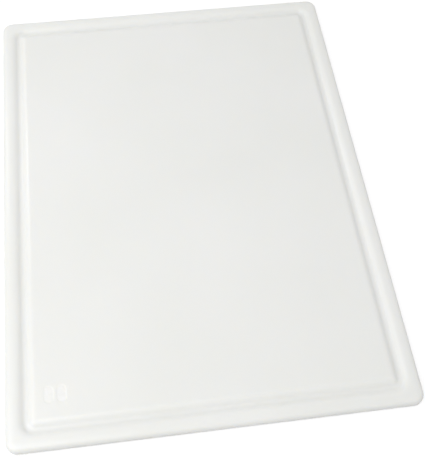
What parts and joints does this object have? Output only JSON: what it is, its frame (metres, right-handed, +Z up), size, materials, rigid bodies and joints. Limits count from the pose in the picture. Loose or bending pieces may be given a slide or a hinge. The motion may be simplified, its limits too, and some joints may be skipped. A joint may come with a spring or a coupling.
{
  "type": "cutting board",
  "caption": "Flat rectangular cutting board with rounded corners, a softly crowned rim and a juice groove all round its cutting face.",
  "frame": {"origin": "middle of the underside, on the surface that the board lies on", "axes": "+X across the board's width, +Y along its length, +Z up out of the cutting face; the blank pads are in the corner at -X -Y"},
  "size_m": [0.381, 0.508, 0.0127],
  "materials": {
    "polyethylene": "satin"
  },
  "bodies": {
    "root": {"board": "polyethylene"}
  },
  "joints": []
}
